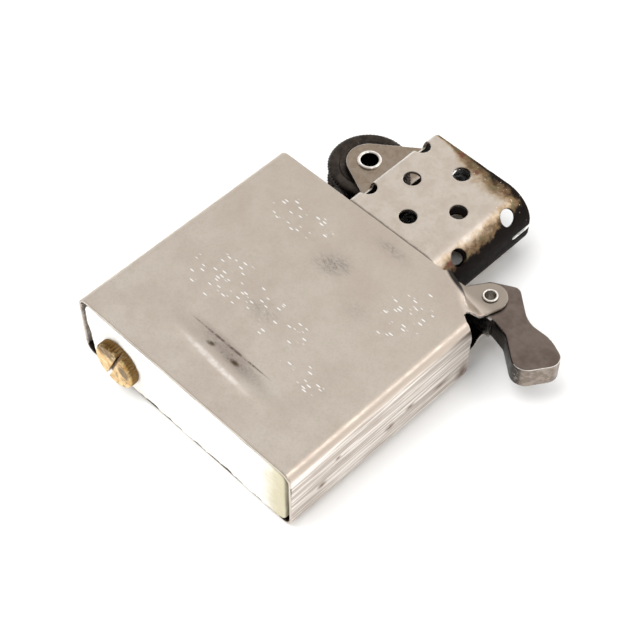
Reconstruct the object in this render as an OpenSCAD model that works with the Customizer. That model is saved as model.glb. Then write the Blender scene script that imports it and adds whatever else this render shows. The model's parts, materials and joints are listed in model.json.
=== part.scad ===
// Insert of a flip-top windproof petrol lighter, lying on its back face.
// Frame: origin at the centre of the back face, +Z out of the front face,
// +Y towards the chimney, +X towards the cam lever.

/* [Body shell] */
// Width of the shell across both narrow sides
body_w = 36.2; // [35:0.1:38]
// Length of the shell from the open bottom rim to the shoulder
body_l = 33.7; // [33:0.1:36]
// Thickness of the shell from back face to front face
body_t = 10.4; // [10.2:0.1:11.4]
// Radius of the long edges of the shell
edge_r = 1.5; // [1:0.1:2]
// Thickness of the shell and chimney sheet
sheet_t = 0.45; // [0.35:0.05:0.5]

/* [Top deck] */
// Depth of the deck below the shoulder
deck_drop = 1.0; // [0.8:0.1:1.4]
// Depth of the cam well below the shoulder
well_drop = 4.9; // [4.5:0.1:5.4]

/* [Chimney] */
// Height of the chimney above the shoulder
chimney_h = 16.3; // [15:0.1:17]
// Distance from the centre line to the wheel side of the chimney
chimney_left = 6.4; // [6.2:0.1:6.6]
// Distance from the centre line to the rounded cam side of the chimney
chimney_right = 10.25; // [10:0.05:10.5]
// Radius of the two corners on the cam side of the chimney
end_r = 4.0; // [3.4:0.1:4.4]
// Radius of the air holes
hole_r = 1.15; // [1:0.05:1.25]
// Distance between air holes along one row
hole_pitch = 7.85; // [7.4:0.05:8.2]
// Distance between two rows of air holes
row_pitch = 4.95; // [4.6:0.05:5.1]
// Length of the slit in the cam side of the chimney
slit_l = 3.2; // [2.5:0.1:4]

/* [Spark wheel] */
// Distance from the centre line to the wheel and flint axis
wheel_x = 10.4; // [10.3:0.05:10.6]
// Height of the wheel axis above the shoulder
wheel_h = 8.45; // [8.3:0.05:8.7]
// Radius over the thumb teeth
wheel_r = 5.5; // [5.3:0.05:5.6]
// Thickness of the wheel
wheel_t = 3.4; // [3.2:0.1:3.4]
// Depth of the striking band below the thumb teeth
band_depth = 0.5; // [0.4:0.05:0.6]
// Number of thumb teeth
wheel_teeth = 72; // [40:2:80]

/* [Cam lever] */
// Distance from the centre line to the cam pivot
cam_x = 15.25; // [15.15:0.05:15.35]
// Height of the cam pivot above the shoulder
cam_h = 2.85; // [2.8:0.05:3]
// Thickness of the cam lever
cam_t = 3.3; // [3:0.1:3.3]

/* [Flint parts] */
// Outer radius of the flint tube
tube_r = 2.2; // [2.1:0.05:2.4]
// Radius of a new flint
flint_r = 1.2; // [1.1:0.05:1.2]
// Length of a new flint
flint_l = 4.6; // [3:0.1:5]
// Radius of the slotted screw head
screw_head_r = 3.2; // [3:0.1:3.4]
// Radius of the screw shank
screw_r = 1.7; // [1.5:0.05:1.75]

/* [Filling] */
// Thickness of the felt pad
pad_t = 2.8; // [2:0.1:3]
// Radius of the wick
wick_r = 1.5; // [1.2:0.05:1.5]

/* [Hidden] */
$fn = 64;

// Clearances
touch = 0.02;
running = 0.03;
cut = 1;

// Levels along Y
top_y = body_l / 2;
bottom_y = -body_l / 2;
deck_y = top_y - deck_drop;
well_y = top_y - well_drop;
rim_y = top_y + chimney_h;

// Levels along Z
mid_z = body_t / 2;
inner_t = body_t - 2 * sheet_t;

// Bent ears that hold the wheel and the cam
ear_gap = 0.05;
cam_ear_z = cam_t / 2 + ear_gap;
wheel_ear_z = wheel_t / 2 + ear_gap;
cam_ear_r = 2.2;
ear_root_a = 1.3;
ear_root_b = 0.7;
ear_root_up = 0.2;
wheel_ear_r = 3.05;
wheel_ear_low = 3.1;
wheel_ear_high = 15.8;

// Cam corner of the shell: the diagonal fold starts at fold_a and ends at fold_b
fold_a = [9.9, top_y];
fold_b = [body_w / 2 - edge_r - 0.1, top_y - 2.35];
fold_out_r = 1.2;
fold_in_r = 1;
fold_inset = 0.12;
fold_spare = 1;

// Narrow side of the shell beside the cam, cut lower than the fold
side_wall_y = top_y - 3.8;
notch_step = 0.2;
notch_w = 0.4;
notch_h = 0.3;

// Chimney
chimney_t = inner_t - 2 * touch;
end_x = chimney_right - end_r;
end_z = chimney_t / 2 - end_r;
bend_r = 0.8;
bend_x = bend_r - chimney_left;
bend_z = chimney_t / 2 - bend_r;
hole_x = 0.95;
hole_mid_y = top_y + 8.35;
end_hole_angle = 48;
end_row_pitch = row_pitch - 0.4;
bend_hole_angle = -30;
bend_hole_back = 0.15;
slit_w = 0.5;
rim_corner_r = 1;

// Wheel
wheel_y = top_y + wheel_h;
wheel_rim_w = wheel_t / 2 - flint_r - 0.05;
wheel_chamfer = 0.4;
tooth_depth = 0.14;
band_r = wheel_r - band_depth;
recess_r = 3.9;
recess_depth = 0.25;

// Hollow rivets: radius of the bore, shank and rolled lip, and how far the lip stands out
wheel_rivet_size = [1.14, 1.4, 1.63, 0.3];
cam_rivet_size = [0.7, 0.85, 1.0, 0.25];

// Cam and its leaf spring
cam_y = top_y + cam_h;
heel = 2.1;
leaf_t = 0.3;
leaf_gap = 0.05;
leaf_end_x = 17.5;
leaf_bend_r = 0.9;
well_wall_x = 10.9;
plate_t = 0.5;
leaf_x = well_wall_x + plate_t + touch;
leaf_y = cam_y - heel - leaf_gap - leaf_t;
leaf_rivet_y = well_y + 1.5;
leaf_rivet_r = 0.6;
leaf_rivet_head_r = 0.95;
leaf_rivet_head_t = 0.4;
leaf_rivet_back_t = 0.2;

// Flint column along Y, from the slotted screw up to the wheel
head_t = 1.4;
head_gap = 0.35;
head_chamfer = 0.2;
head_y = bottom_y - head_gap;
face_y = head_y - head_t;
knurl_n = 44;
knurl_depth = 0.14;
slot_w = 0.5;
slot_depth = 0.8;
slot_angle = 25;
shank_l = 7.4;
shank_end_y = head_y + shank_l;
bore_spare = 0.5;
tube_top_y = wheel_y - wheel_r - 1.4;
tube_bottom_y = head_y + touch;
flint_top_y = wheel_y - band_r - 0.05;
flint_y = flint_top_y - flint_l;
flint_bore_r = flint_r + 0.05;
tip_head_l = 1.2;
tip_stem_l = 1.6;
tip_stem_r = 0.6;
tip_y = flint_y - touch - tip_head_l;
spring_wire_r = 0.17;
spring_r = 0.93;
spring_turns = 26;

// Wick, pad and wadding
wick_x = -0.4;
wick_leg_x = 4.5;
wick_top_y = rim_y - 0.3;
wick_hole_gap = 0.1;
wick_bend_r = 2;
wick_bend_y = 9;
wick_end_y = -12.6;
wire_r = 0.15;
wire_bore_r = 0.2;
pad_gap = 0.15;
pad_hole_gap = 0.1;
pad_end_gap = 0.5;
pad_split_x = -5.6;
pad_split_gap = 0.3;
pad_r = 1;
wad_t = inner_t - 0.4;
wad_edge_r = 2.2;

// Middle of each cotton wad in plan, and its radius
wads = [[-3, -8.3, 4.7], [-3, 1.5, 4.7], [12.2, -9.1, 4], [12.2, -0.9, 4], [12.2, 7.2, 3.9]];

steel = "silver";
warm_steel = "tan";
dark_steel = "dimgray";
brass = "goldenrod";
cotton = "white";

// Extrudes a flat XZ outline from y0 to y1
module along_y(y0, y1) {
  translate([0, y1, 0]) rotate([90, 0, 0]) linear_extrude(y1 - y0) children();
}

// Extrudes a plan outline between two heights measured from the middle plane
module slab(z0, z1) {
  translate([0, 0, mid_z + z0]) linear_extrude(z1 - z0) children();
}

// Repeats a shape mirrored about the middle plane
module both_faces() {
  children();
  translate([0, 0, body_t]) mirror([0, 0, 1]) children();
}

module rounded_rect(w, h, r) {
  square([w - 2 * r, h], center = true);
  square([w, h - 2 * r], center = true);
  for (x = [-1, 1], y = [-1, 1])
    translate([x * (w / 2 - r), y * (h / 2 - r)]) circle(r);
}

// Cross-section of the shell, moved in from its outer surface by inset
module shell_section(inset) {
  translate([0, mid_z]) rounded_rect(body_w - 2 * inset, body_t - 2 * inset, edge_r - inset);
}

// Points on an arc about c
function arc(c, r, a0, a1, n) =
  [for (i = [0:n]) c + r * [cos(a0 + (a1 - a0) * i / n), sin(a0 + (a1 - a0) * i / n)]];

// Corner b of an outline, rounded with radius r between its neighbours a and c
function rounded_corner(a, b, c, r, n = 8) =
  let (u = (a - b) / norm(a - b), v = (c - b) / norm(c - b), m = (u + v) / norm(u + v),
       half = acos(u * v) / 2, o = b + m * r / sin(half), s = sign(u[0] * v[1] - u[1] * v[0]),
       mid = atan2(-m[1], -m[0]), sweep = 90 - half)
  arc(o, r, mid + s * sweep, mid - s * sweep, n);

// Closed outline from corners given as [x, y, radius]
function rounded_outline(p) =
  [for (i = [0:len(p) - 1])
    let (k = len(p), a = p[(i + k - 1) % k], b = p[i], c = p[(i + 1) % k])
    each rounded_corner([a[0], a[1]], [b[0], b[1]], [c[0], c[1]], b[2])];

// Angle about c at which a line from p touches the circle
function touch_angle(c, r, p, side) =
  let (d = p - c)
  atan2(d[1], d[0]) + side * acos(r / norm(d));

// Round end about c, joined by straight edges to two root points in anticlockwise order
module lug(c, r, first, last) {
  a = touch_angle(c, r, first, 1);
  b = touch_angle(c, r, last, -1);
  polygon(concat([first], arc(c, r, a, b < a ? b + 360 : b, 24), [last]));
}

// Cylinder along Y on the flint axis
module flint_rod(r, y0, y1) {
  translate([-wheel_x, 0, mid_z]) along_y(y0, y1) circle(r);
}

// Disc outline with n fine teeth
module toothed(r, depth, n) {
  polygon([for (i = [0:2 * n - 1]) (r - depth * (i % 2)) * [cos(180 * i / n), sin(180 * i / n)]]);
}

// Hollow rivet with a rolled lip at both ends, on a Z axis through the middle plane
module hollow_rivet(size, lip_z) {
  roll_r = (size[2] - size[0]) / 2;
  translate([0, 0, mid_z]) rotate_extrude() {
    translate([size[0], -lip_z - touch]) square([size[1] - size[0], 2 * (lip_z + touch)]);
    for (side = [0, 1]) mirror([0, side]) translate([size[0], lip_z + touch]) intersection() {
      square([2 * roll_r, size[3]]);
      union() {
        square([2 * roll_r, size[3] - roll_r]);
        translate([roll_r, size[3] - roll_r]) circle(roll_r);
      }
    }
  }
}

// Bent strip of the shell that carries a cam ear, seen along the fold line
module fold_section() {
  ear_top = mid_z + cam_ear_z + sheet_t;
  wall = fold_out_r - sheet_t;
  polygon(concat(
    [[-sheet_t, body_t]],
    arc([0, body_t - fold_out_r], fold_out_r, 90, 0, 8),
    arc([fold_out_r + fold_in_r, ear_top + fold_in_r], fold_in_r, 180, 270, 8),
    [[fold_out_r + fold_in_r + sheet_t, ear_top], [fold_out_r + fold_in_r + sheet_t, ear_top - sheet_t]],
    arc([fold_out_r + fold_in_r, ear_top + fold_in_r], fold_in_r + sheet_t, 270, 180, 8),
    arc([0, body_t - fold_out_r], wall, 0, 90, 8),
    [[-sheet_t, body_t - sheet_t]]
  ));
}

module cam_ear() {
  run = fold_b - fold_a;
  fold_l = norm(run);
  along = run / fold_l;
  out = [-along[1], along[0]] * (fold_out_r + fold_in_r + ear_root_up);
  root_a = fold_a + out + ear_root_a * along;
  root_b = fold_b + out - ear_root_b * along;
  intersection() {
    translate([fold_a[0], fold_a[1], 0])
      rotate([0, 0, atan2(run[1], run[0])])
        translate([fold_inset, 0, 0])
          rotate([90, 0, 90])
            linear_extrude(fold_l + fold_spare) fold_section();
    cube([fold_b[0], body_l, body_t]);
  }
  difference() {
    slab(cam_ear_z, cam_ear_z + sheet_t) lug([cam_x, cam_y], cam_ear_r, root_b, root_a);
    translate([cam_x, cam_y, mid_z]) cylinder(r = cam_rivet_size[1] + touch, h = body_t);
  }
}

// Everything of the shell that is cut away around the cam
module cam_corner_cut() {
  notch_x = fold_b[0] + notch_step;
  linear_extrude(3 * body_t, center = true)
    polygon([fold_a, fold_b, [notch_x, side_wall_y + notch_h], [notch_x + notch_w, side_wall_y],
             [body_w, side_wall_y], [body_w, top_y + cut], [fold_a[0], top_y + cut]]);
}

module insert_shell() {
  color(warm_steel) {
    difference() {
      along_y(bottom_y, top_y) shell_section(0);
      along_y(bottom_y - cut, top_y + cut) shell_section(sheet_t);
      cam_corner_cut();
    }
    both_faces() cam_ear();
  }
}

module leaf_rivet_hole() {
  translate([leaf_x + cut, leaf_rivet_y, mid_z]) rotate([0, -90, 0])
    cylinder(r = leaf_rivet_r + touch, h = plate_t + 2 * cut);
}

module top_plate() {
  edge_x = body_w / 2;
  color(steel) difference() {
    intersection() {
      along_y(bottom_y, top_y) shell_section(sheet_t + touch);
      slab(-body_t / 2, body_t / 2)
        polygon([[-edge_x, deck_y], [-edge_x, deck_y - plate_t], [well_wall_x, deck_y - plate_t],
                 [well_wall_x, well_y - plate_t], [edge_x, well_y - plate_t], [edge_x, well_y],
                 [well_wall_x + plate_t, well_y], [well_wall_x + plate_t, deck_y]]);
    }
    flint_rod(tube_r + touch, deck_y - 2 * plate_t, deck_y + cut);
    translate([wick_x, 0, mid_z])
      along_y(deck_y - 2 * plate_t, deck_y + cut) circle(wick_r + wick_hole_gap);
    leaf_rivet_hole();
  }
}

// Chimney section seen along Y, moved in from its outer surface by inset
module chimney_section(inset) {
  half = chimney_t / 2 - inset;
  left = inset - chimney_left;
  right = chimney_right - inset;
  ear = wheel_ear_z + sheet_t - inset;
  ear_reach = wheel_x + wheel_ear_r + cut;
  translate([0, mid_z]) {
    translate([bend_x, -half]) square([end_x - bend_x, 2 * half]);
    translate([left, -bend_z]) square([end_x - left, 2 * bend_z]);
    translate([end_x, -end_z]) square([right - end_x, 2 * end_z]);
    translate([-ear_reach, -ear]) square([ear_reach, 2 * ear]);
    for (side = [-1, 1]) {
      translate([bend_x, side * bend_z]) circle(bend_r - inset);
      translate([end_x, side * end_z]) circle(end_r - inset);
    }
  }
}

module chimney_outline() {
  left = -chimney_left;
  translate([left, deck_y]) square([body_w, chimney_h + deck_drop - rim_corner_r]);
  translate([left + rim_corner_r, deck_y]) square([body_w, chimney_h + deck_drop]);
  translate([left + rim_corner_r, rim_y - rim_corner_r]) circle(rim_corner_r);
  lug([-wheel_x, wheel_y], wheel_ear_r, [left + sheet_t, top_y + wheel_ear_high],
      [left + sheet_t, top_y + wheel_ear_low]);
}

// Round air hole that starts at a point and leaves at an angle from +Z towards +X
module air_hole(x, y, z, angle) {
  translate([x, y, mid_z + z]) rotate([0, angle, 0]) cylinder(r = hole_r, h = body_t);
}

module air_holes() {
  start_x = bend_x - bend_hole_back * sin(bend_hole_angle);
  start_z = bend_z - bend_hole_back * cos(bend_hole_angle);
  for (side = [-1, 1]) {
    air_hole(hole_x, hole_mid_y + side * row_pitch, 0, 0);
    air_hole(hole_x + side * hole_pitch / 2, hole_mid_y, 0, 0);
    air_hole(end_x, hole_mid_y + side * end_row_pitch, end_z, end_hole_angle);
    air_hole(start_x, hole_mid_y + side * row_pitch, start_z, bend_hole_angle);
  }
}

module chimney() {
  color(warm_steel) difference() {
    intersection() {
      along_y(deck_y, rim_y) chimney_section(0);
      slab(-body_t, body_t) chimney_outline();
    }
    along_y(deck_y - cut, rim_y + cut) chimney_section(sheet_t);
    both_faces() air_holes();
    translate([end_x, rim_y - slit_l, mid_z - slit_w / 2]) cube([body_w, slit_l + cut, slit_w]);
    translate([-wheel_x, wheel_y, 0]) cylinder(r = wheel_rivet_size[1] + touch, h = body_t);
  }
}

module wheel_rivet() {
  color(steel) translate([-wheel_x, wheel_y, 0]) hollow_rivet(wheel_rivet_size, wheel_ear_z + sheet_t);
}

module spark_wheel() {
  rim_w = wheel_t / 2 - wheel_rim_w;
  color(dark_steel) translate([-wheel_x, wheel_y, mid_z]) difference() {
    union() {
      linear_extrude(wheel_t, center = true) toothed(band_r, tooth_depth, wheel_teeth + 10);
      for (side = [-1, 1]) mirror([0, 0, side < 0 ? 1 : 0]) translate([0, 0, rim_w]) intersection() {
        linear_extrude(wheel_rim_w) toothed(wheel_r, tooth_depth, wheel_teeth);
        translate([0, 0, wheel_rim_w - wheel_r])
          cylinder(r1 = 2 * wheel_r - wheel_chamfer, r2 = wheel_r - wheel_chamfer, h = wheel_r);
      }
    }
    for (side = [-1, 1]) mirror([0, 0, side < 0 ? 1 : 0])
      translate([0, 0, wheel_t / 2 - recess_depth]) cylinder(r = recess_r, h = cut);
    cylinder(r = wheel_rivet_size[1] + running, h = body_t, center = true);
  }
}

// Boot-shaped lever seen from the front, about its pivot
module cam_outline() {
  polygon(rounded_outline([
    [-2.2, -heel, 0.9], [2.4, -heel, 2.5], [4.9, -2.75, 2.5], [9.3, -6.3, 1.9], [12.9, -0.95, 1.6],
    [8.9, 0.7, 5], [5.7, 0.45, 4], [1.5, 3.9, 1.1], [-2.2, 1.8, 1.6]
  ]));
}

module cam() {
  color(dark_steel) translate([cam_x, cam_y, mid_z]) difference() {
    linear_extrude(cam_t, center = true) cam_outline();
    cylinder(r = cam_rivet_size[1] + running, h = body_t, center = true);
  }
}

module cam_rivet() {
  color(steel) translate([cam_x, cam_y, 0]) hollow_rivet(cam_rivet_size, cam_ear_z + sheet_t);
}

module cam_spring() {
  corner = [leaf_x + leaf_bend_r, leaf_y + leaf_t - leaf_bend_r];
  color(steel) difference() {
    slab(-cam_t / 2, cam_t / 2)
      polygon(concat(
        [[leaf_x, well_y + touch]], arc(corner, leaf_bend_r, 180, 90, 8),
        [[leaf_end_x, leaf_y + leaf_t], [leaf_end_x, leaf_y]],
        arc(corner, leaf_bend_r - leaf_t, 90, 180, 8), [[leaf_x + leaf_t, well_y + touch]]
      ));
    leaf_rivet_hole();
  }
}

module cam_spring_rivet() {
  back_x = well_wall_x - leaf_rivet_back_t;
  head_x = leaf_x + leaf_t;
  color(steel) translate([0, leaf_rivet_y, mid_z]) rotate([0, 90, 0]) {
    translate([0, 0, back_x - touch]) cylinder(r = leaf_rivet_head_r, h = leaf_rivet_back_t);
    translate([0, 0, back_x]) cylinder(r = leaf_rivet_r, h = head_x + leaf_rivet_head_t - back_x);
    translate([0, 0, head_x + touch]) cylinder(r = leaf_rivet_head_r, h = leaf_rivet_head_t);
  }
}

module flint_tube() {
  color(brass) difference() {
    flint_rod(tube_r, tube_bottom_y, tube_top_y);
    flint_rod(flint_bore_r, tube_bottom_y - cut, tube_top_y + cut);
    flint_rod(screw_r + running, tube_bottom_y - cut, shank_end_y + bore_spare);
  }
}

module flint() {
  color(dark_steel) flint_rod(flint_r, flint_y, flint_top_y);
}

module flint_spring_tip() {
  color(brass) {
    flint_rod(flint_r, tip_y, flint_y - touch);
    flint_rod(tip_stem_r, tip_y - tip_stem_l, tip_y);
  }
}

// Round wire wound about the Y axis, closed at both ends
module coil(r, wire, turns, length, steps = 12, sides = 6) {
  n = steps * turns;
  points = [for (i = [0:n], j = [0:sides - 1])
    let (a = 360 * i / steps, b = 360 * j / sides, rr = r + wire * cos(b))
    [rr * cos(a), i * length / n + wire * sin(b), rr * sin(a)]];
  walls = [for (i = [0:n - 1], j = [0:sides - 1])
    let (k = (j + 1) % sides)
    [i * sides + j, i * sides + k, (i + 1) * sides + k, (i + 1) * sides + j]];
  first = [for (j = [sides - 1:-1:0]) j];
  last = [for (j = [0:sides - 1]) n * sides + j];
  polyhedron(points, concat(walls, [first, last]));
}

module flint_spring() {
  start_y = shank_end_y + touch + spring_wire_r;
  length = tip_y - touch - spring_wire_r - start_y;
  color(steel) translate([-wheel_x, start_y, mid_z]) coil(spring_r, spring_wire_r, spring_turns, length);
}

module flint_screw() {
  face_r = screw_head_r - head_chamfer;
  color(brass) difference() {
    union() {
      intersection() {
        translate([-wheel_x, 0, mid_z])
          along_y(face_y, head_y) toothed(screw_head_r, knurl_depth, knurl_n);
        translate([-wheel_x, face_y, mid_z]) rotate([-90, 0, 0])
          cylinder(r1 = face_r, r2 = face_r + head_t, h = head_t);
      }
      flint_rod(screw_r, head_y, shank_end_y);
    }
    translate([-wheel_x, face_y, mid_z]) rotate([0, slot_angle, 0])
      cube([slot_w, 2 * slot_depth, 3 * screw_head_r], center = true);
  }
}

// Round strand that drops from the chimney and steps aside between the wadding
module strand(r) {
  step = wick_leg_x - wick_x - 2 * wick_bend_r;
  translate([wick_x, 0, mid_z]) along_y(wick_bend_y + wick_bend_r, wick_top_y) circle(r);
  translate([wick_x + wick_bend_r, wick_bend_y + wick_bend_r, mid_z]) rotate([0, 0, 180])
    rotate_extrude(angle = 90) translate([wick_bend_r, 0]) circle(r);
  translate([wick_x + wick_bend_r, wick_bend_y, mid_z]) rotate([0, 90, 0]) cylinder(r = r, h = step);
  translate([wick_leg_x - wick_bend_r, wick_bend_y - wick_bend_r, mid_z])
    rotate_extrude(angle = 90) translate([wick_bend_r, 0]) circle(r);
  translate([wick_leg_x, 0, mid_z]) along_y(wick_end_y, wick_bend_y - wick_bend_r) circle(r);
}

module wick() {
  color(cotton) difference() {
    strand(wick_r);
    strand(wire_bore_r);
  }
}

module wick_wire() {
  color(brass) strand(wire_r);
}

// Felt that fills the bottom opening between two X positions
module pad_piece(x0, x1) {
  w = body_w - 2 * (sheet_t + pad_end_gap);
  intersection() {
    along_y(bottom_y, bottom_y + pad_t) translate([0, mid_z])
      rounded_rect(w, body_t - 2 * (sheet_t + pad_gap), pad_r);
    translate([x0, bottom_y - cut, 0]) cube([x1 - x0, pad_t + 2 * cut, body_t]);
  }
}

module felt_pad_fixed() {
  color(cotton) difference() {
    pad_piece(-body_w / 2, pad_split_x);
    flint_rod(tube_r + pad_hole_gap, bottom_y - cut, bottom_y + pad_t + cut);
  }
}

module felt_pad_flap() {
  color(cotton) pad_piece(pad_split_x + pad_split_gap, body_w / 2);
}

// Soft wad of cotton pressed flat between the two faces of the shell
module cotton_wad(at) {
  color(cotton) translate([at[0], at[1], mid_z]) rotate_extrude() intersection() {
    rounded_rect(2 * at[2], wad_t, wad_edge_r);
    translate([0, -wad_t]) square([at[2], 2 * wad_t]);
  }
}

module cotton_wad_1() {
  cotton_wad(wads[0]);
}

module cotton_wad_2() {
  cotton_wad(wads[1]);
}

module cotton_wad_3() {
  cotton_wad(wads[2]);
}

module cotton_wad_4() {
  cotton_wad(wads[3]);
}

module cotton_wad_5() {
  cotton_wad(wads[4]);
}

insert_shell();
top_plate();
chimney();
wheel_rivet();
spark_wheel();
cam();
cam_rivet();
cam_spring();
cam_spring_rivet();
flint_tube();
flint();
flint_spring_tip();
flint_spring();
flint_screw();
wick();
wick_wire();
felt_pad_fixed();
felt_pad_flap();
cotton_wad_1();
cotton_wad_2();
cotton_wad_3();
cotton_wad_4();
cotton_wad_5();
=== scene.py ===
"""Looks of the lighter insert: finished pieces, materials, floor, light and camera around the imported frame.

Lengths in the mesh code are millimetres; each piece is scaled to metres when it is made.
"""

import json
import math
import random

import bmesh
import bpy
import numpy as np
from mathutils import Matrix, Vector, noise


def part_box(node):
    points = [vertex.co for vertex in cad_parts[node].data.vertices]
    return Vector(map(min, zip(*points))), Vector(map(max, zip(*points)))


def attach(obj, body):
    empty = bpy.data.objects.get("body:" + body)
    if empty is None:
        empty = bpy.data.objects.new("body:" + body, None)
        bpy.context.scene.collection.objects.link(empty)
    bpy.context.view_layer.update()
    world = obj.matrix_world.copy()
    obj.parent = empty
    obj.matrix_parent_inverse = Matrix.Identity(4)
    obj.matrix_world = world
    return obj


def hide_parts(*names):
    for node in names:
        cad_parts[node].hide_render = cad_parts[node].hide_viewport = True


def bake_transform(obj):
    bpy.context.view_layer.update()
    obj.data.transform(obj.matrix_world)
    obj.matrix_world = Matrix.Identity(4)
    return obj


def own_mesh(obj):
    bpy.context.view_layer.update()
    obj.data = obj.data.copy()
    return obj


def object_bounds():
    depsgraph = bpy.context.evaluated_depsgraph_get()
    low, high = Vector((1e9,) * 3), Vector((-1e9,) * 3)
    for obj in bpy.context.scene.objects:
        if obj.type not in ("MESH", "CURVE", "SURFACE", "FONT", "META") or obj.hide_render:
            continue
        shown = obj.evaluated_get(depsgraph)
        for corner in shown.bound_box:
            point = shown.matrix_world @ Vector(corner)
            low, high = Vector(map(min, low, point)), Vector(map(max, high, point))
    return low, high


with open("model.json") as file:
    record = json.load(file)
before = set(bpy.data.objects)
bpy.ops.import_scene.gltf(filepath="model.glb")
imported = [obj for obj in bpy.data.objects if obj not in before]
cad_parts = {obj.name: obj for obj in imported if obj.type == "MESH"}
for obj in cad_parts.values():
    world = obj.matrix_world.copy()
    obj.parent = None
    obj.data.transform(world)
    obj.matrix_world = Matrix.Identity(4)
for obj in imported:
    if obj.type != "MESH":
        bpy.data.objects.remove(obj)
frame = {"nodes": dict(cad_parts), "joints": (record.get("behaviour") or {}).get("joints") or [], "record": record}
cad_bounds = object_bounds()

MM = 0.001
SEED = 11
noise.seed_set(SEED)  # unseeded, the noise vectors change from run to run


# ---------------------------------------------------------------- sizes taken from the frame

def box_mm(node):
    """Lowest and highest corner of a CAD node in millimetres."""
    low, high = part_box(node)
    return np.array(low) / MM, np.array(high) / MM


def joint(name):
    """Record of one joint."""
    return next(j for j in frame["joints"] if j["name"] == name)


def joint_axis(name):
    """Point on a joint's axis in millimetres."""
    return np.array(joint(name)["pos_m"]) / MM


SHELL_LOW, SHELL_HIGH = box_mm("insert_shell")
CHIMNEY_LOW, CHIMNEY_HIGH = box_mm("chimney")
PAD_LOW, PAD_HIGH = box_mm("felt_pad_flap")
PAD_FIXED_LOW, PAD_FIXED_HIGH = box_mm("felt_pad_fixed")
SCREW_LOW, SCREW_HIGH = box_mm("flint_screw")
MID_Z = (SHELL_LOW[2] + SHELL_HIGH[2]) / 2
FACE_Z = SHELL_HIGH[2]
DECK_DEPTH = 1.0
SHOULDER_Y = box_mm("top_plate")[1][1] + DECK_DEPTH
RIM_Y = CHIMNEY_HIGH[1]
WHEEL = joint_axis("wheel_spin")
CAM = joint_axis("cam_swing")
SHELL_R = 1.5
CHIMNEY_BEND_R = 4.0

# The fold from the shell's faces to the cam ears: its start, the way along it and the way out of the shell.
FOLD_START = np.array([9.9, SHOULDER_Y])
FOLD_ALONG = np.array([0.942, -0.3355])
FOLD_OUT = np.array([0.3355, 0.942])
FOLD_OUT_R, FOLD_IN_R = 1.2, 1.0
EAR_HALF = 2.15


# ---------------------------------------------------------------- meshes

def make_object(name, points, faces):
    """New object from points in millimetres."""
    mesh = bpy.data.meshes.new(name)
    mesh.from_pydata([tuple(p) for p in np.asarray(points) * MM], [], faces)
    mesh.validate()
    obj = bpy.data.objects.new(name, mesh)
    bpy.context.scene.collection.objects.link(obj)
    mesh.shade_smooth()
    return obj


def join_parts(parts):
    """Joins (points, faces) pairs into one pair."""
    points, faces, start = [], [], 0
    for part_points, part_faces in parts:
        points.append(np.asarray(part_points, float))
        faces += [tuple(i + start for i in f) for f in part_faces]
        start += len(part_points)
    return np.vstack(points), faces


def grid_faces(rows, columns, close_rows=False):
    """Quads over rings of points stored row by row."""
    faces = []
    for i in range(rows if close_rows else rows - 1):
        this_row, next_row = i * columns, (i + 1) % rows * columns
        for j in range(columns):
            k = (j + 1) % columns
            faces.append((this_row + j, this_row + k, next_row + k, next_row + j))
    return faces


def lathe(profile, steps, centre, axis="z", close=True):
    """Turns (radius, height) points about an axis through centre; a radius may be a function of the turn."""
    turn = np.linspace(0, 2 * math.pi, steps, endpoint=False)
    rows = []
    for radius, height in profile:
        r = radius(turn) if callable(radius) else np.full(steps, radius)
        h = np.full(steps, height)
        x, y = r * np.cos(turn), r * np.sin(turn)
        rows.append(np.stack([x, y, h] if axis == "z" else [x, h, -y], 1))
    points = np.vstack(rows) + np.asarray(centre)
    return points, grid_faces(len(profile), steps, close_rows=close)


def arc_points(cx, cy, radius, start, end, steps):
    """Points on an arc, angles in degrees."""
    angles = np.radians(np.linspace(start, end, steps))
    return [(cx + radius * math.cos(a), cy + radius * math.sin(a)) for a in angles]


def tube(path, radius, sides=10):
    """Round bar along a path; radius is one number or one per point."""
    path = np.asarray(path, float)
    radius = np.broadcast_to(np.asarray(radius, float), (len(path),))
    along = np.gradient(path, axis=0)
    along /= np.linalg.norm(along, axis=1)[:, None]
    any_way = [0.3, 0.2, 0.9]
    side = np.cross(along[0], any_way)
    side /= np.linalg.norm(side)
    rows = []
    for p, t, r in zip(path, along, radius):
        side = side - t * (side @ t)
        side /= np.linalg.norm(side)
        up = np.cross(t, side)
        angles = np.linspace(0, 2 * math.pi, sides, endpoint=False)
        rows.append(p + r * (np.outer(np.cos(angles), side) + np.outer(np.sin(angles), up)))
    faces = grid_faces(len(path), sides)
    last = (len(path) - 1) * sides
    faces.append(tuple(reversed(range(sides))))
    faces.append(tuple(last + i for i in range(sides)))
    return np.vstack(rows), faces


def apply_modifiers(obj):
    """Replaces an object's mesh by its evaluated mesh."""
    bpy.context.view_layer.update()
    graph = bpy.context.evaluated_depsgraph_get()
    mesh = bpy.data.meshes.new_from_object(obj.evaluated_get(graph))
    obj.modifiers.clear()
    old = obj.data
    obj.data = mesh
    bpy.data.meshes.remove(old)


def copy_nodes(name, nodes):
    """New object in millimetres holding the meshes of some CAD nodes."""
    build = bmesh.new()
    for node in nodes:
        build.from_mesh(frame["nodes"][node].data)
    bmesh.ops.remove_doubles(build, verts=build.verts, dist=1e-7)
    mesh = bpy.data.meshes.new(name)
    build.to_mesh(mesh)
    build.free()
    mesh.transform(Matrix.Scale(1 / MM, 4))
    obj = bpy.data.objects.new(name, mesh)
    bpy.context.scene.collection.objects.link(obj)
    return obj


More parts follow.
